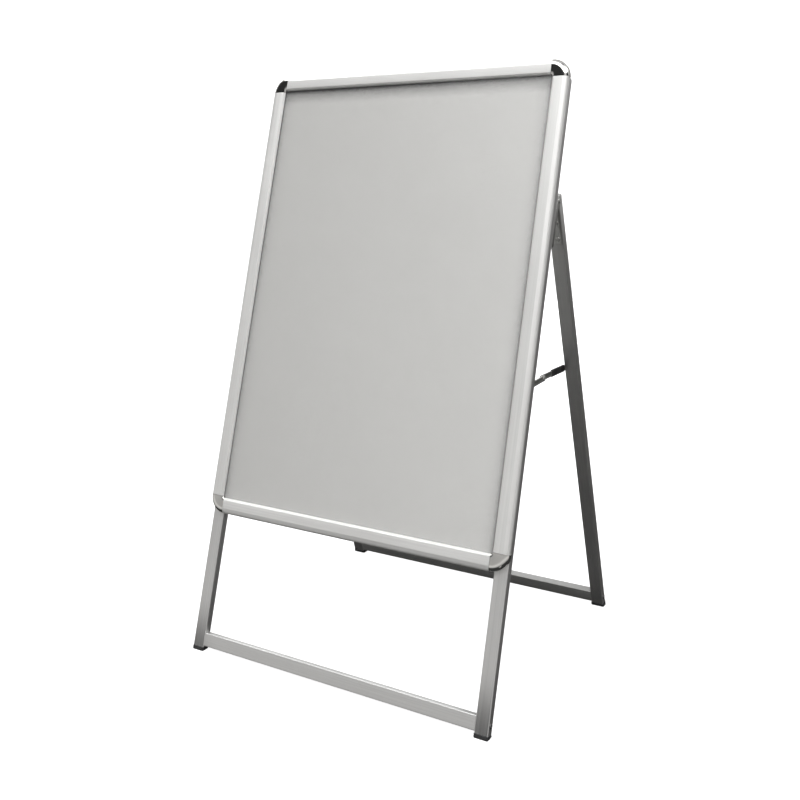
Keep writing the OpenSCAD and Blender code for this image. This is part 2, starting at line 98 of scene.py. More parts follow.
def solids(node, turn=Matrix()):
    """The box of each separate solid in one CAD node, in a turned frame, in millimetres."""
    back = turn.inverted()
    bm = bmesh.new()
    bm.from_mesh(NODES[node].data)
    bmesh.ops.remove_doubles(bm, verts=bm.verts, dist=2e-5)
    bm.verts.ensure_lookup_table()
    seen, found = set(), []
    for seed in bm.verts:
        if seed.index in seen:
            continue
        seen.add(seed.index)
        stack, group = [seed], []
        while stack:
            v = stack.pop()
            group.append((back @ v.co) / MM)
            for e in v.link_edges:
                w = e.other_vert(v)
                if w.index not in seen:
                    seen.add(w.index)
                    stack.append(w)
        found.append(extent(group))
    bm.free()
    return found


# ---------------------------------------------------------------- materials
# Most of a noise's values lie between these
NOISE_LO, NOISE_HI = 0.38, 0.62

# The shade that a rail throws on the clear sheet close under it, painted into the sheet's colour and opacity
SHADE_UP = (0.0, -0.35, 0.94)
SHADE_REACH = 0.03
SHADE_DARK, SHADE_OPEN = 0.62, 0.79
PAINTED_SHADE_COLOUR = (0.03, 0.03, 0.03)
PAINTED_SHADE_ALPHA = 0.92


class Graph:
    """A small helper that writes shader nodes from left to right."""

    def __init__(self, name):
        self.mat = bpy.data.materials.new(name)
        self.mat.use_nodes = True
        self.tree = self.mat.node_tree
        self.tree.nodes.clear()
        self.out = self.tree.nodes.new("ShaderNodeOutputMaterial")
        self.bsdf = self.add("ShaderNodeBsdfPrincipled")
        self.link(self.bsdf.outputs[0], self.out.inputs["Surface"])
        self.coord = self.add("ShaderNodeTexCoord")

    def add(self, kind, **props):
        node = self.tree.nodes.new(kind)
        for key, value in props.items():
            setattr(node, key, value)
        return node

    def link(self, a, b):
        self.tree.links.new(a, b)

    def put(self, node, **values):
        for key, value in values.items():
            node.inputs[key.replace("_", " ")].default_value = value

    def mapped(self, scale, turn=(0, 0, 0)):
        """Object coordinates, first turned back by turn and then scaled."""
        m = self.add("ShaderNodeMapping", vector_type="TEXTURE")
        m.inputs["Rotation"].default_value = turn
        m.inputs["Scale"].default_value = [1 / s for s in scale]
        self.link(self.coord.outputs["Object"], m.inputs["Vector"])
        return m.outputs[0]

    def noise(self, vector, detail=3.0, rough=0.5):
        n = self.add("ShaderNodeTexNoise")
        self.put(n, Scale=1.0, Detail=detail, Roughness=rough)
        self.link(vector, n.inputs["Vector"])
        return n.outputs["Fac"]

    def spread(self, fac, lo, hi, to_lo, to_hi):
        """Maps lo..hi to to_lo..to_hi, and stays within those."""
        m = self.add("ShaderNodeMapRange")
        for i, v in enumerate((lo, hi, to_lo, to_hi)):
            m.inputs[i + 1].default_value = v
        self.link(fac, m.inputs[0])
        return m.outputs[0]

    def math(self, op, a, b):
        m = self.add("ShaderNodeMath", operation=op)
        for i, v in enumerate((a, b)):
            if isinstance(v, (int, float)):
                m.inputs[i].default_value = v
            else:
                self.link(v, m.inputs[i])
        return m.outputs[0]

    def blend(self, *parts):
        """The sum of several values, each with its share."""
        total = None
        for value, share in parts:
            scaled = self.math("MULTIPLY", value, share)
            total = scaled if total is None else self.math("ADD", total, scaled)
        return total

    def mix(self, fac, a, b):
        """Colour a where fac is 0, colour b where it is 1."""
        m = self.add("ShaderNodeMix", data_type="RGBA")
        for socket, v in ((m.inputs[0], fac), (m.inputs[6], a), (m.inputs[7], b)):
            if isinstance(v, tuple):
                socket.default_value = (*v, 1.0)
            else:
                self.link(v, socket)
        return m.outputs[2]

    def painted_shade_mask(self, plane):
        """A mask for painted shade: 0 close under anything that hides the light from above, 1 in the open and
        behind the plane.
        """
        ao = self.add("ShaderNodeAmbientOcclusion", samples=8)
        up = self.add("ShaderNodeCombineXYZ")
        for i, v in enumerate(SHADE_UP):
            up.inputs[i].default_value = v
        self.link(up.outputs[0], ao.inputs["Normal"])
        ao.inputs["Distance"].default_value = SHADE_REACH
        depth = self.add("ShaderNodeVectorMath", operation="DOT_PRODUCT")
        depth.inputs[1].default_value = (0, math.cos(LEAN), -math.sin(LEAN))
        self.link(self.coord.outputs["Object"], depth.inputs[0])
        behind = self.math("GREATER_THAN", depth.outputs["Value"], plane)
        lit = self.spread(ao.outputs["AO"], SHADE_DARK, SHADE_OPEN, 0.0, 1.0)
        return self.math("MAXIMUM", lit, behind)

    def colour(self, shade):
        self.link(shade, self.bsdf.inputs["Base Color"])

    def roughness(self, value):
        self.link(value, self.bsdf.inputs["Roughness"])

    def bump(self, height, strength, distance):
        b = self.add("ShaderNodeBump")
        self.put(b, Strength=strength, Distance=distance)
        self.link(height, b.inputs["Height"])
        self.link(b.outputs[0], self.bsdf.inputs["Normal"])


def tinted(colour, by):
    return tuple(min(1.0, max(0.0, c * by)) for c in colour)


def metal(name, colour, rough, grain="X", turn=(0, 0, 0), metallic=1.0, tint=0.05, line=1300):
    """Drawn metal: fine lines along one axis, soft colour and gloss variation, thin scratches."""
    rough_span, scratch, gloss_gain = 0.05, 0.25, 0.15
    g = Graph(name)
    g.put(g.bsdf, Metallic=metallic)
    axis = "XYZ".index(grain)

    def along(fine, coarse):
        return g.mapped([coarse if i == axis else fine for i in range(3)], turn)

    lines = g.noise(along(line, 5), 3.0, 0.6)
    bands = g.noise(along(260, 1.6), 2.0, 0.5)
    cloud = g.noise(along(16, 5), 3.0, 0.5)
    both = g.blend((lines, 0.45), (bands, 0.3), (cloud, 0.25))
    tone = g.spread(both, NOISE_LO, NOISE_HI, 0, 1)
    shade = g.mix(tone, tinted(colour, 1 - tint), tinted(colour, 1 + tint))
    rough_now = g.spread(both, NOISE_LO, NOISE_HI, rough - rough_span, rough + rough_span)
    thin = g.spread(g.noise(along(700, 26), 2.0, 0.4), 0.70, 0.76, 0, scratch)
    g.colour(g.mix(thin, shade, tinted(colour, 1.2)))
    g.roughness(g.math("SUBTRACT", rough_now, g.math("MULTIPLY", thin, gloss_gain)))
    g.bump(g.blend((lines, 0.8), (thin, -0.6)), 0.05, 0.0003)
    return g.mat


def polished(name, colour, rough):
    """Polished chrome with a faint haze of wiping marks."""
    g = Graph(name)
    g.put(g.bsdf, Metallic=1.0)
    haze = g.noise(g.mapped((35, 35, 35)), 4.0, 0.55)
    swirl = g.noise(g.mapped((900, 160, 500)), 3.0, 0.6)
    g.colour(g.mix(g.spread(haze, 0.35, 0.65, 0, 1), tinted(colour, 0.96), tinted(colour, 1.03)))
    mixed = g.blend((haze, 0.5), (swirl, 0.5))
    g.roughness(g.spread(mixed, NOISE_LO, NOISE_HI, rough - 0.025, rough + 0.03))
    g.bump(swirl, 0.02, 0.0002)
    return g.mat


def plastic(name, colour, rough, bump=0.25, tint=0.12, grain=1100, alpha=1.0, shaded=None):
    """Moulded plastic with a fine texture and a little dust in the lighter patches.
    shaded: the depth in the panel up to which the painted shade under a rail shows on it, as a dark and
    nearly opaque colour."""
    g = Graph(name)
    g.put(g.bsdf, Alpha=alpha)
    fine = g.noise(g.mapped((grain,) * 3), 3.0, 0.6)
    cloud = g.noise(g.mapped((24, 24, 24)), 4.0, 0.6)
    light = tuple(min(1, c * (1 + tint) + 0.004) for c in colour)
    shade = g.mix(g.spread(cloud, 0.42, 0.64, 0, 1), colour, light)
    if shaded is not None:
        unshaded = g.painted_shade_mask(shaded)
        # Painted shade: close under a rail the sheet is coloured dark and made nearly opaque
        shade = g.mix(unshaded, PAINTED_SHADE_COLOUR, shade)
        g.link(g.spread(unshaded, 0, 1, PAINTED_SHADE_ALPHA, alpha), g.bsdf.inputs["Alpha"])
    g.colour(shade)
    g.roughness(g.spread(cloud, 0.3, 0.7, rough - 0.05, rough + 0.06))
    g.bump(fine, bump, 0.0002)
    return g.mat


def paper(name, colour):
    """Blank poster paper: fine fibres, a hardly visible mottle and a matt surface."""
    g = Graph(name)
    fibre = g.noise(g.mapped((1600, 1600, 500)), 3.0, 0.65)
    mottle = g.noise(g.mapped((45, 45, 45)), 3.0, 0.5)
    both = g.blend((fibre, 0.6), (mottle, 0.4))
    g.colour(g.mix(g.spread(both, 0.35, 0.65, 0, 1), tinted(colour, 0.985), tinted(colour, 1.012)))
    g.roughness(g.spread(both, 0.3, 0.7, 0.62, 0.74))
    g.bump(fibre, 0.12, 0.0001)
    return g.mat


# The grain of an upright piece runs along its own lean
ON_PANEL = {"grain": "Z", "turn": (-LEAN, 0, 0)}
ON_REAR = {"grain": "Z", "turn": (REAR_LEAN, 0, 0)}
RAIL = {"rough": 0.50, "metallic": 0.8}
LEG = {"rough": 0.42, "metallic": 0.9, "tint": 0.07, "line": 900}
STEEL = {"tint": 0.09, "line": 500}

ALUMINIUM = (0.90, 0.90, 0.885)
LEG_GREY = (0.76, 0.76, 0.75)
# The rear legs and bar are the same paint as the front ones, drawn darker: painted shade for the shade they
# stand in behind the panel
LEG_GREY_IN_PAINTED_SHADE = (0.58, 0.58, 0.57)
ZINC = (0.66, 0.66, 0.64)
GREY = (0.62, 0.62, 0.61)
sheet_lo, sheet_hi = local_box(["clear_cover"], PANEL)
SHEET_MID = (sheet_lo.y + sheet_hi.y) / 2 * MM
SHEET = {"bump": 0.06, "tint": 0.02, "grain": 300, "alpha": 0.25, "shaded": SHEET_MID}

M = {
    "rail_aluminium": metal("rail_aluminium", ALUMINIUM, **RAIL),
    "rail_aluminium_upright": metal("rail_aluminium_upright", ALUMINIUM, **RAIL, **ON_PANEL),
    "corner_chrome": polished("corner_chrome", (0.80, 0.795, 0.77), 0.06),
    "front_leg_paint": metal("front_leg_paint", LEG_GREY, **LEG, **ON_PANEL),
    "front_bar_paint": metal("front_bar_paint", LEG_GREY, **LEG),
    "rear_leg_paint": metal("rear_leg_paint", LEG_GREY_IN_PAINTED_SHADE, **LEG, **ON_REAR),
    "rear_bar_paint": metal("rear_bar_paint", LEG_GREY_IN_PAINTED_SHADE, **LEG),
    "zinc_steel": metal("zinc_steel", ZINC, 0.36, **STEEL, **ON_PANEL),
    "zinc_leaf": metal("zinc_leaf", ZINC, 0.36, **STEEL, **ON_REAR),
    "zinc_link": metal("zinc_link", ZINC, 0.34, "Y", **STEEL),
    "bolt_steel": metal("bolt_steel", (0.20, 0.20, 0.20), 0.46, **STEEL),
    "spring_steel": metal("spring_steel", (0.35, 0.35, 0.36), 0.30, "Z", tint=0.12, line=500),
    "backing": plastic("backing", GREY, 0.55, tint=0.04, grain=700),
    "poster": paper("poster", (0.80, 0.795, 0.775)),
    "clear_sheet": plastic("clear_sheet", (0.86, 0.86, 0.85), 0.34, **SHEET),
    "grey_plastic": plastic("grey_plastic", GREY, 0.42),
    "black_plastic": plastic("black_plastic", (0.020, 0.020, 0.021), 0.40, tint=0.5),
}


# ---------------------------------------------------------------- mesh tools
def rounded_rect(w, d, r, steps=6):
    """A w by d rectangle with round corners, as a closed ring about the origin."""
    points = []
    for sx, sy, start in ((1, 1, 0), (-1, 1, 90), (-1, -1, 180), (1, -1, 270)):
        for i in range(steps + 1):
            a = math.radians(start + 90 * i / steps)
            points.append((sx * (w / 2 - r) + r * math.cos(a), sy * (d / 2 - r) + r * math.sin(a)))
    return points


def cap_rings(w, d, shape, base=0.0):
    """Rings of a w by d block with round corners, from rows of (inset, height, corner radius)."""
    return [
        [(x, y, base + z) for x, y in rounded_rect(w - 2 * inset, d - 2 * inset, r)]
        for inset, z, r in shape
    ]


def arc(centre, radii, start, end, steps):
    """Points on an ellipse, as (q, p), with angles in degrees."""
    turn = [math.radians(start + (end - start) * i / steps) for i in range(steps + 1)]
    return [(centre[0] + radii[0] * math.cos(a), centre[1] + radii[1] * math.sin(a)) for a in turn]


def fillet(points, cut, sharp=30, steps=3):
    """Rounds the sharp corners of a closed outline."""
    out = []
    for i, point in enumerate(points):
        p = Vector(point)
        a = Vector(points[i - 1]) - p
        b = Vector(points[(i + 1) % len(points)]) - p
        if math.degrees(math.pi - a.angle(b)) < sharp:
            out.append(tuple(p))
            continue
        near = min(cut, 0.45 * a.length, 0.45 * b.length)
        start, end = p + a.normalized() * near, p + b.normalized() * near
        for k in range(steps + 1):
            t = k / steps
            out.append(tuple((1 - t) ** 2 * start + 2 * t * (1 - t) * p + t * t * end))
    return out


def spline(points, steps=5):
    """A smooth open line through the given points."""
    ends = [points[0]] + list(points) + [points[-1]]
    out = []
    for k in range(1, len(ends) - 2):
        a, b, c, d = (Vector(ends[k + i]) for i in (-1, 0, 1, 2))
        for i in range(steps):
            t = i / steps
            out.append(tuple(0.5 * (2 * b + (c - a) * t + (2 * a - 5 * b + 4 * c - d) * t * t
                                    + (3 * b - a - 3 * c + d) * t ** 3)))
    return out + [points[-1]]


def skin(bm, rings, loop=False):
    """Faces between rings of equal length; the ends are capped, or joined into a loop."""
    rows = [[bm.verts.new(p) for p in ring] for ring in rings]
    pairs = list(zip(rows, rows[1:])) + ([(rows[-1], rows[0])] if loop else [])
    for a, b in pairs:
        for i in range(len(a)):
            j = (i + 1) % len(a)
            bm.faces.new((a[i], a[j], b[j], b[i]))
    if not loop:
        ends = [bm.faces.new(rows[0]), bm.faces.new(rows[-1])]
        bmesh.ops.triangulate(bm, faces=ends, ngon_method="EAR_CLIP")


def lathe(bm, outline, place, steps=36):
    """Turns an outline of (radius, height) about Z. A third item makes that ring six-sided."""
    sixth = math.pi / 3
    rows = []
    for point in outline:
        r, h = point[0], point[1]
        if r < 1e-6:
            rows.append([bm.verts.new(place @ Vector((0, 0, h)))])
            continue
        row = []
        for i in range(steps):
            a = 2 * math.pi * i / steps
            rr = r
            if len(point) > 2:
                rr = r * math.cos(sixth / 2) / math.cos(a % sixth - sixth / 2)
            row.append(bm.verts.new(place @ Vector((rr * math.cos(a), rr * math.sin(a), h))))
        rows.append(row)
    for a, b in zip(rows, rows[1:]):
        for i in range(steps):
            j = (i + 1) % steps
            if len(a) == 1 and len(b) > 1:
                bm.faces.new((a[0], b[j], b[i]))
            elif len(b) == 1 and len(a) > 1:
                bm.faces.new((a[i], a[j], b[0]))
            elif len(a) > 1:
                bm.faces.new((a[i], a[j], b[j], b[i]))


def piece(name, bm, place, material, node, sharp):
    """Makes the object from a mesh drawn in millimetres, and stands it in for one CAD node."""
    bmesh.ops.recalc_face_normals(bm, faces=bm.faces)
    bmesh.ops.scale(bm, vec=(MM, MM, MM), verts=bm.verts)
    bmesh.ops.transform(bm, matrix=place, verts=bm.verts)
    me = bpy.data.meshes.new(name)
    bm.to_mesh(me)
    bm.free()
    me.materials.append(M[material])
    for p in me.polygons:
        p.use_smooth = True
    me.set_sharp_from_angle(angle=math.radians(sharp))
    obj = bpy.data.objects.new(name, me)
    scene.collection.objects.link(obj)
    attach(obj, NODES[node]["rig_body"])
    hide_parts(node)


# ---------------------------------------------------------------- poster frame
# The rails' section: q is the depth behind the frame's front, p the distance in from its outer edge
CORNERS = ["corner_%s_%s" % (tb, lr) for tb in ("top", "bottom") for lr in ("left", "right")]
COVERS = ["snap_cover_" + s for s in SIDES]
f_lo, f_hi = local_box(COVERS + CORNERS, PANEL)
FRAME_W, FRAME_H = f_hi.x - f_lo.x, f_hi.z - f_lo.z
FRONT, MID_V = f_lo.y, (f_lo.z + f_hi.z) / 2
b_lo, b_hi = local_box(["snap_cover_bottom"], PANEL)
RAIL_W = b_hi.z - b_lo.z
RAIL_GAP = 0.3
CORNER_C = (FRAME_W - (b_hi.x - b_lo.x)) / 2 - RAIL_GAP
LIP_Q, LIP_T = 4.4, 1.4
SHOULDER = (6.2, 10.0)
NOSE = (3.5, 7.0)
BEAD = (8.6, 2.4)
BEAD_R = 1.4
# A cut end is drawn in by this much, the front of the section backwards and the rest forwards
CHAMFER, CHAMFER_MID = 0.12, 6
CORNER_STEPS = 40
BOSS_IN = 14.5
BOSS = [(0, 1.4), (3.6, 1.4), (3.6, 9.5), (3.3, 9.8), (1.6, 9.8), (1.6, 3), (0, 3)]
CREASE = 11


def rail_skin():
    """The rail's outer face as (q, p), from the poster's edge outward."""
    inner = [(LIP_Q - 0.5, 29.85), (3.3, 29.4), (1.9, 28.2), (1.55, 27.6), (1.6, 27.0), (1.2, 26.95)]
    nose = [(0.66, 26.7), (0.22, 26.1), (0.02, 25.0)]
    bevel = [(0.02, 10.0), (0.95, 6.6), (2.0, 3.1)]
    line = [(2.45, 2.75), (3.0, 2.75), (3.05, 2.05)]
    flank = [(4.2, 1.1), (5.4, 0.25), (6.2, 0)]
    return [(LIP_Q, RAIL_W)] + inner + nose + bevel + line + flank


def nose_inside():
    radii = (NOSE[0] - LIP_T, NOSE[1] - LIP_T)
    return arc((NOSE[0], RAIL_W - NOSE[1]), radii, 180, 90, 8) + [(LIP_Q, RAIL_W - LIP_T)]


def cover_outline():
    """The whole section of a cover: its skin, the bead that it turns on, and its inside."""
    bead = arc(BEAD, (BEAD_R, BEAD_R), -142.8, 167.6, 32)
    inner = arc(SHOULDER, (SHOULDER[0] - LIP_T, SHOULDER[1] - 1.7), 245, 180, 8)
    return rail_skin() + [(6.8, 0)] + bead + [(6.4, 2.7)] + inner + nose_inside()


def corner_outline():
    """The corner's face is slightly crowned, so it mirrors more than a flat one."""
    crown = [(LIP_Q, RAIL_W), (3.2, 29.5), (1.7, 27.8), (0.95, 24.5), (0.38, 18.5), (0.08, 13.5)]
    crown += [(0.06, 11.0), (0.4, 8.0), (1.15, 5.4), (2.3, 3.1), (3.8, 1.35), (5.2, 0.4), (6.4, 0)]
    back = [(14, 0), (14, 2), (7.2, 2), (3.4, 7.6), (2.6, 11.2)]
    return spline(crown) + [(6.8, 0)] + back + nose_inside()


def cover(side, label):
    """One snap cover along its side of the frame, with its two cut ends slightly chamfered."""
    across = side % 2 == 0
    half = (FRAME_H if across else FRAME_W) / 2
    turn = Matrix.Rotation(math.radians(-90 * side), 4, "Y")
    length = (FRAME_W if across else FRAME_H) / 2 - CORNER_C - RAIL_GAP
    outline = fillet(cover_outline(), 0.45)
    stations = [-length, -length + 0.25]
    stations += [length * (i / 6 - 1) for i in range(1, 12)]
    stations += [length - 0.25, length]
    rings = []
    for x in stations:
        edge = CHAMFER if abs(x) == length else 0.0
        rings.append([(x, q + (edge if q < CHAMFER_MID else -edge), p) for q, p in outline])
    bm = bmesh.new()
    skin(bm, rings)
    place = PANEL @ at(0, FRONT, MID_V) @ turn @ at(0, 0, -half)
    material = "rail_aluminium" if across else "rail_aluminium_upright"
    piece("cover_" + label, bm, place, material, "snap_cover_" + label, CREASE)


def corner(tb, lr):
    """One quarter-round corner piece with the boss for its screw."""
    sx, sz = (1 if lr == "right" else -1), (1 if tb == "top" else -1)
    start = {(1, 1): 0, (-1, 1): 90, (-1, -1): 180, (1, -1): 270}[(sx, sz)]
    cx, cz = sx * (FRAME_W / 2 - CORNER_C), sz * (FRAME_H / 2 - CORNER_C)
    outline = fillet(corner_outline(), 0.5)
    rings = []
    for i in range(CORNER_STEPS + 1):
        a = math.radians(start + 90 * i / CORNER_STEPS)
        ux, uz = math.cos(a), math.sin(a)
        rings.append([(cx + (CORNER_C - p) * ux, q, cz + (CORNER_C - p) * uz) for q, p in outline])
    bm = bmesh.new()
    skin(bm, rings)
    centre = (sx * (FRAME_W / 2 - BOSS_IN), 0, sz * (FRAME_H / 2 - BOSS_IN))
    lathe(bm, BOSS, Matrix.Translation(centre) @ Matrix.Rotation(math.radians(-90), 4, "X"))
    name = "%s_%s" % (tb, lr)
    piece("chrome_" + name, bm, PANEL @ at(0, FRONT, MID_V), "corner_chrome", "corner_" + name, CREASE)


for side, label in enumerate(SIDES):
    cover(side, label)
for tb in ("bottom", "top"):
    for lr in ("left", "right"):
        corner(tb, lr)


# ---------------------------------------------------------------- tubes
WALL = 1.5
EDGE_R = 1.3
# How far the softened edge of a sawn end reaches along the tube
SAWN = 0.3


def tube(name, node, turn, material, across=False):
    """A drawn rectangular tube with round edges and real walls. across: it lies along X."""
    lo, hi = local_box([node], turn)
    mid, size = (lo + hi) / 2, hi - lo
    place = turn @ at(*mid)
    if across:
        w, d, length = size.z, size.y, size.x
        place = place @ Matrix.Rotation(math.radians(90), 4, "Y")
    else:
        w, d, length = size.x, size.y, size.z
    e = length / 2
    outside = [(0, -e + SAWN + (2 * e - 2 * SAWN) * i / 10, EDGE_R) for i in range(11)]
    shape = [(0.25, -e, 1.2)] + outside + [(0.25, e, 1.2)]
    shape += [(WALL - 0.2, e, 0.5), (WALL, e - SAWN, 0.4), (WALL, SAWN - e, 0.4), (WALL - 0.2, -e, 0.5)]
    bm = bmesh.new()
    skin(bm, cap_rings(w, d, shape), loop=True)
    piece(name, bm, place, material, node, 40)


for lr in HANDS:
    tube("front_tube_" + lr, "front_leg_" + lr, PANEL, "front_leg_paint")
    tube("rear_tube_" + lr, "rear_leg_" + lr, REAR, "rear_leg_paint")
tube("front_bar", "front_crossbar", PANEL, "front_bar_paint", across=True)
tube("rear_bar", "rear_crossbar", REAR, "rear_bar_paint", across=True)


# ---------------------------------------------------------------- feet and plugs
PLUG = (21.8, 11.8)
PLUG_L = 10
TOP_CAP = 3.0
DOME = [(0, 0, 2.2), (0, 1.5, 2.2), (0.25, 2.1, 2.2), (0.8, 2.6, 2.2), (1.8, 2.88, 2.2), (3.2, 2.97, 2.0),
        (5.2, TOP_CAP, 1.6)]
# Two grooves round the foot, and then its straight part, which the floor cuts off
FOOT = [(0.9, 0, 2.2), (0.3, -0.25, 2.6), (0, -0.9, 2.8), (0, -2.6, 2.8), (0.35, -2.9, 2.6),
        (0.35, -3.6, 2.6), (0, -3.9, 2.8), (0, -5.4, 2.8), (0.35, -5.7, 2.6), (0.35, -6.4, 2.6),
        (0, -6.7, 2.8), (0, -18, 2.8)]


def plug_rings(way, base=0.0):
    """The plug hidden in the tube's end. way: 1 where it points up, -1 where it points down."""
    return cap_rings(*PLUG, [(0.5, way * PLUG_L, 1.0), (0, way * (PLUG_L - 1), 1.2), (0, 0, 1.2)], base)


def top_plug(name, node, turn):
    lo, hi = local_box([node], turn)
    mid = (lo + hi) / 2
    bm = bmesh.new()
    skin(bm, plug_rings(-1) + cap_rings(hi.x - lo.x, hi.y - lo.y, DOME))
    piece(name, bm, turn @ at(mid.x, mid.y, hi.z - TOP_CAP), "grey_plastic", node, 46)


def foot(name, node, turn):
    """A foot cap, whose sole the floor cuts flat."""
    lo, hi = local_box([node], turn)
    mid = (lo + hi) / 2
    top = hi.z - PLUG_L
    bm = bmesh.new()
    skin(bm, plug_rings(1, top) + cap_rings(hi.x - lo.x, hi.y - lo.y, FOOT, top))
    place = turn @ at(mid.x, mid.y, 0)
    back = place.inverted()
    floor_point = back @ Vector((0, 0, 0)) / MM
    floor_normal = (back.to_3x3() @ Vector((0, 0, 1))).normalized()
    cut = bmesh.ops.bisect_plane(
        bm, geom=bm.verts[:] + bm.edges[:] + bm.faces[:], dist=1e-4, plane_co=floor_point,
        plane_no=floor_normal, clear_inner=True,
    )
    rim = [g for g in cut["geom_cut"] if isinstance(g, bmesh.types.BMEdge)]
    sole = bmesh.ops.contextual_create(bm, geom=rim)["faces"]
    edges = list({e for f in sole for e in f.edges})
    bmesh.ops.bevel(bm, geom=edges, offset=0.45, segments=2, affect="EDGES", clamp_overlap=True)
    piece(name, bm, place, "black_plastic", node, 46)


for lr in HANDS:
    top_plug("plug_front_" + lr, "top_plug_front_" + lr, PANEL)
    top_plug("plug_rear_" + lr, "top_plug_rear_" + lr, REAR)
    foot("sole_front_" + lr, "foot_front_" + lr, PANEL)
    foot("sole_rear_" + lr, "foot_rear_" + lr, REAR)


# ---------------------------------------------------------------- rivets and screws
ALONG_X, ALONG_Y = 0, 1
PIN_HEAD = 1.5
TIP = 0.3


def dome(r, t):
    """Half outline of a blind rivet's head from its rim to the middle, with the mandrel's hole."""
    return [(r, 0), (r, 0.22 * t), (0.93 * r, 0.5 * t), (0.78 * r, 0.78 * t), (0.56 * r, 0.96 * t),
            (0.40 * r, t), (0.34 * r, 0.9 * t), (0.30 * r, 0.55 * t), (0, 0.5 * t)]


def screw_head(r, t):
    """Half outline of a pan head from its rim to the middle, with a six-sided socket."""
    return [(r, 0), (r, 0.35 * t), (0.94 * r, 0.66 * t), (0.80 * r, 0.9 * t), (0.62 * r, t),
            (0.46 * r, t, 6), (0.43 * r, 0.88 * t, 6), (0.42 * r, 0.35 * t, 6), (0, 0.3 * t)]


def axis_place(centre, direction):
    return Matrix.Translation(centre) @ Vector(direction).to_track_quat("Z", "Y").to_matrix().to_4x4()


def to_front(centre):
    return -1


def to_back(centre):
    return 1


def outward(centre):
    return 1 if centre.x > 0 else -1


def fasteners(name, node, turn, material, axis, way, shank_r, head_t, head):
    """One fastener for each solid of a node. way: which way its head points along the axis."""
    bm = bmesh.new()
    for lo, hi in solids(node, turn):
        centre, size = (lo + hi) / 2, hi - lo
        out = way(centre)
        radius = size[(axis + 1) % 3] / 2
        direction = Vector([out if i == axis else 0 for i in range(3)])
        start = centre.copy()
        start[axis] = (hi if out > 0 else lo)[axis] - out * head_t
        shank = size[axis] - head_t
        body = [(0, -shank), (shank_r - TIP, -shank), (shank_r, TIP - shank), (shank_r, 0)]
        lathe(bm, body + head(radius, head_t), axis_place(start, direction))
    piece(name, bm, turn, material, node, 30)


for row in (
    ("rail_rivets", "frame_rivets", PANEL, "zinc_steel", ALONG_Y, to_front, 2.4, 0.9, dome),
    ("channel_rivets", "bracket_rivets", PANEL, "zinc_steel", ALONG_Y, to_back, 2.5, 1.4, dome),
    ("plate_rivets", "leaf_rivets", REAR, "zinc_leaf", ALONG_Y, to_front, 2.5, 1.4, dome),
    ("front_bar_bolts", "front_crossbar_screws", PANEL, "bolt_steel", ALONG_X, outward, 2.4, 1.6, screw_head),
    ("rear_bar_bolts", "rear_crossbar_screws", REAR, "bolt_steel", ALONG_X, outward, 2.4, 1.6, screw_head),
    ("back_screws", "corner_screws", PANEL, "zinc_steel", ALONG_Y, to_back, 1.58, 0.8, screw_head),
):
    fasteners(*row)


def spindle(name, node, shank_r, washer=(), far_head=False):
    """A rivet along X through flat bars: a head inside, maybe a washer, and maybe a head outside.
    washer: its two faces and its radius."""
    lo, hi = local_box([node])
    mid, size = (lo + hi) / 2, hi - lo
    s = 1 if mid.x > 0 else -1
    r, length, t = size.y / 2, size.x, PIN_HEAD
    outline = [(a, t - b) for a, b in reversed(dome(r, t))] + [(shank_r, t)]
    if washer:
        near, far, wr = washer
        outline += [(shank_r, near), (wr, near), (wr, far), (shank_r, far)]
    if far_head:
        outline += [(shank_r, length - t)] + [(a, length - t + b) for a, b in dome(r, t)]
    else:
        outline += [(shank_r, length - TIP), (shank_r - TIP, length), (0, length)]
    bm = bmesh.new()
    start = Vector((lo.x if s > 0 else hi.x, mid.y, mid.z))
    lathe(bm, outline, axis_place(start, (s, 0, 0)))
    piece(name, bm, Matrix(), "zinc_steel", node, 30)


for lr in HANDS:
    spindle("pivot_" + lr, "stay_pivot_" + lr, 2.5, washer=(4.2, 4.7, 4.2))
    spindle("knee_" + lr, "stay_knee_rivet_" + lr, 2.5, washer=(4.2, 5.9, 4.2), far_head=True)
    spindle("end_" + lr, "stay_end_rivet_" + lr, 2.5)
    spindle("axle_" + lr, "hinge_pin_" + lr, 3.0, far_head=True)


# ---------------------------------------------------------------- stay sleeves
SLEEVE_SIDE = 1.2
LINK_SLOT = (2.5, 11.04)
GROOVES = (-0.72, -0.62, -0.52, 0.52, 0.62, 0.72)


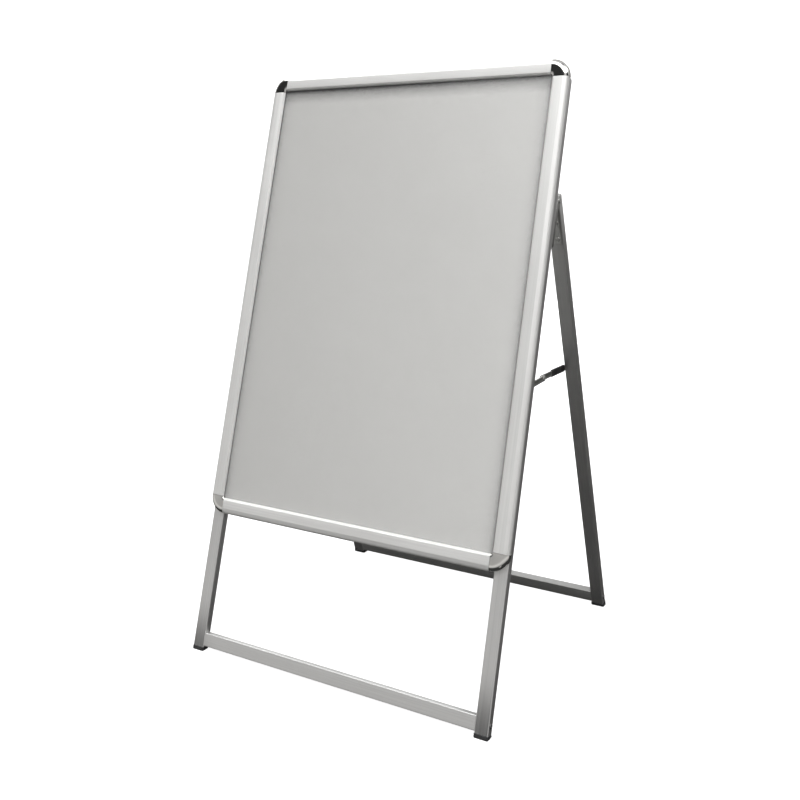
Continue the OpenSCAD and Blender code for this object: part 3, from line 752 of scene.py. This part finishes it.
def sleeve(lr):
    """The sleeve round the rear link, with a slot for the link and three grooves near each end."""
    k_lo, k_hi = local_box(["stay_knee_rivet_" + lr])
    e_lo, e_hi = local_box(["stay_end_rivet_" + lr])
    knee, end = (k_lo + k_hi) / 2, (e_lo + e_hi) / 2
    angle = math.atan2(end.z - knee.z, end.y - knee.y)
    turn = Matrix.Translation(Vector((0, knee.y, knee.z)) * MM) @ Matrix.Rotation(angle, 4, "X")
    node = "stay_sleeve_" + lr
    lo, hi = local_box([node], turn)
    mid, size = (lo + hi) / 2, hi - lo
    e = size.y / 2
    s = 1 if mid.x > 0 else -1
    slot_mid = mid.x + s * (SLEEVE_SIDE + LINK_SLOT[0] / 2 - size.x / 2)

    def outer(inset, y):
        ring = rounded_rect(size.x - 2 * inset, size.z - 2 * inset, 1.6)
        return [(mid.x + x, mid.y + y, mid.z + z) for x, z in ring]

    def inner(y):
        return [(slot_mid + x, mid.y + y, mid.z + z) for x, z in rounded_rect(*LINK_SLOT, 0.3)]

    rings = [inner(-e + 0.3), outer(0.5, -e), outer(0.12, -e + 0.3), outer(0, -e + 0.9)]
    for groove in GROOVES:
        y = groove * e
        rings += [outer(0, y - 0.9), outer(0.22, y - 0.5), outer(0.22, y + 0.5), outer(0, y + 0.9)]
    rings += [outer(0, e - 0.9), outer(0.12, e - 0.3), outer(0.5, e), inner(e - 0.3)]
    bm = bmesh.new()
    skin(bm, rings, loop=True)
    piece("sleeve_" + lr, bm, turn, "black_plastic", node, 40)


for lr in HANDS:
    sleeve(lr)


# ---------------------------------------------------------------- CAD nodes that stay
slot_of = {s["node"]: s["material_slot"] for s in frame["record"]["subparts"]}
# A part's own material, where its grain runs another way than its slot's
OWN_MATERIAL = {
    "base_rail_right": "rail_aluminium_upright", "base_rail_left": "rail_aluminium_upright",
    "hinge_leaf_right": "zinc_leaf", "hinge_leaf_left": "zinc_leaf",
    "stay_front_link_right": "zinc_link", "stay_front_link_left": "zinc_link",
    "stay_rear_link_right": "zinc_link", "stay_rear_link_left": "zinc_link",
}
SOFT_EDGE = {
    "hinge_bracket": 0.5, "hinge_leaf": 0.45, "stay_front_link": 0.4, "stay_rear_link": 0.4,
    "base_rail": 0.25, "corner_keys": 0.4, "snap_springs": 0.1, "backing_panel": 0.5,
    "clear_cover": 0.15, "poster_sheet": 0.06,
}


def soften(obj, width):
    """Joins the flat triangles of a CAD mesh and bevels its edges, with modifiers only."""
    for p in obj.data.polygons:
        p.use_smooth = True
    weld = obj.modifiers.new("weld", "WELD")
    weld.merge_threshold = 1e-5
    flat = obj.modifiers.new("flat", "DECIMATE")
    flat.decimate_type = "DISSOLVE"
    flat.angle_limit = math.radians(0.3)
    bevel = obj.modifiers.new("bevel", "BEVEL")
    bevel.width = width * MM
    bevel.segments = 2
    bevel.limit_method = "ANGLE"
    bevel.angle_limit = math.radians(34)
    bevel.harden_normals = True
    bevel.use_clamp_overlap = True


for name, obj in NODES.items():
    obj.data.materials.clear()
    obj.data.materials.append(M[OWN_MATERIAL.get(name, slot_of[name])])
    if obj.hide_render:
        continue
    for start, width in SOFT_EDGE.items():
        if name.startswith(start):
            soften(obj, width)


# ---------------------------------------------------------------- studio
# The camera alone sees the floor and the backdrop: the metal mirrors the world and the soft lights
def stage_mesh(name, bm, emission, base):
    me = bpy.data.meshes.new(name)
    bm.to_mesh(me)
    bm.free()
    obj = bpy.data.objects.new(name, me)
    scene.collection.objects.link(obj)
    g = Graph(name)
    g.put(g.bsdf, Base_Color=(base, base, base, 1), Roughness=0.9, Emission_Strength=emission)
    g.put(g.bsdf, Emission_Color=(1, 1, 1, 1))
    me.materials.append(g.mat)
    obj.visible_diffuse = False
    obj.visible_glossy = False
    obj.visible_transmission = False
    obj.visible_shadow = False


scene.view_settings.view_transform = "Standard"
bm = bmesh.new()
bmesh.ops.create_grid(bm, x_segments=8, y_segments=8, size=60)
stage_mesh("studio_floor", bm, 0.86, 0.5)
bm = bmesh.new()
bmesh.ops.create_uvsphere(bm, u_segments=48, v_segments=24, radius=55)
stage_mesh("studio_backdrop", bm, 1.1, 1.0)

# Grey levels by height, from straight down (-1) to straight up (1). The polished top corners mirror
# the front sky's dark band.
SKY_TOP = 5.0
FRONT_SKY = [(-1, 0.04), (-0.40, 0.04), (-0.24, 0.52), (-0.06, 0.70), (0.0, 0.64), (0.06, 0.48), (0.24, 0.42),
             (0.36, 0.40), (0.40, 0.03), (0.67, 0.03), (0.72, 4.3), (0.86, 5.0), (0.91, 1.0), (1, 0.6)]
BACK_SKY = [(-1, 0.04), (-0.12, 0.04), (0.0, 0.17), (0.20, 0.22), (0.50, 0.50), (0.60, 0.60), (0.80, 0.5),
            (1, 0.6)]
HORIZON, HORIZON_WARMTH = 0.3, 0.97

world = bpy.data.worlds.new("studio")
scene.world = world
world.use_nodes = True
tree = world.node_tree
tree.nodes.clear()


def world_node(kind, **props):
    node = tree.nodes.new(kind)
    for key, value in props.items():
        setattr(node, key, value)
    return node


def ranged(value, lo, hi):
    """Maps lo..hi to 0..1."""
    node = world_node("ShaderNodeMapRange")
    node.inputs["From Min"].default_value = lo
    node.inputs["From Max"].default_value = hi
    tree.links.new(value, node.inputs[0])
    return node.outputs[0]


def sky(stops, height):
    """A gradient through grey levels, slightly warm near the horizon."""
    ramp = world_node("ShaderNodeValToRGB")
    elements = ramp.color_ramp.elements
    for z, grey in stops[1:-1]:
        elements.new((z + 1) / 2)
    for e, (z, grey) in zip(elements, stops):
        warm = HORIZON_WARMTH if abs(z) < HORIZON else 1.0
        e.color = (grey / SKY_TOP, grey / SKY_TOP * (1 + warm) / 2, grey / SKY_TOP * warm, 1)
    tree.links.new(height, ramp.inputs[0])
    return ramp.outputs[0]


coord = world_node("ShaderNodeTexCoord")
ray = world_node("ShaderNodeSeparateXYZ")
tree.links.new(coord.outputs["Generated"], ray.inputs[0])
height = ranged(ray.outputs["Z"], -1, 1)
skies = world_node("ShaderNodeMix", data_type="RGBA")
tree.links.new(ranged(ray.outputs["Y"], -0.2, 0.2), skies.inputs[0])
tree.links.new(sky(FRONT_SKY, height), skies.inputs[6])
tree.links.new(sky(BACK_SKY, height), skies.inputs[7])
background = world_node("ShaderNodeBackground")
background.inputs["Strength"].default_value = SKY_TOP
tree.links.new(skies.outputs[2], background.inputs["Color"])
tree.links.new(background.outputs[0], world_node("ShaderNodeOutputWorld").inputs[0])

LIGHT_DISTANCE = 5.0
LIGHT_TARGET = Vector((0, 0, 0.6))


def softbox(name, towards, power, size=3.4, glossy=True):
    """A square soft light aimed at the middle of the board from one direction."""
    light = bpy.data.lights.new(name, "AREA")
    light.shape = "SQUARE"
    light.size = size
    light.energy = power
    obj = bpy.data.objects.new(name, light)
    towards = Vector(towards).normalized()
    obj.location = towards * LIGHT_DISTANCE + LIGHT_TARGET
    obj.rotation_euler = (-towards).to_track_quat("-Z", "Y").to_euler()
    obj.visible_glossy = glossy
    scene.collection.objects.link(obj)


softbox("soft_right_back", (0.8, 0.55, 0.35), 10)
softbox("soft_front_right", (0.42, -0.8, 0.60), 9, 2.2)
softbox("soft_back_left", (-0.55, 0.8, 0.3), 36)
softbox("soft_back_low", (-0.2, 1.0, 0.05), 70, glossy=False)
softbox("soft_left", (-1.0, 0.2, 0.3), 14)


# ---------------------------------------------------------------- camera
CAM_PLACE = (0.963508, -1.647597, 0.924660)
CAM_YAW, CAM_PITCH, CAM_ROLL = 31.388, -8.327, -0.664
cam_data = bpy.data.cameras.new("camera")
cam = bpy.data.objects.new("camera", cam_data)
scene.collection.objects.link(cam)
scene.camera = cam
cam_data.lens = 44.649
cam_data.sensor_width = 36
cam_data.shift_x = 0.0151
cam_data.shift_y = -0.1098
cam.matrix_world = (
    Matrix.Translation(CAM_PLACE)
    @ Matrix.Rotation(math.radians(CAM_YAW), 4, "Z")
    @ Matrix.Rotation(math.radians(90 + CAM_PITCH), 4, "X")
    @ Matrix.Rotation(math.radians(CAM_ROLL), 4, "Z")
)
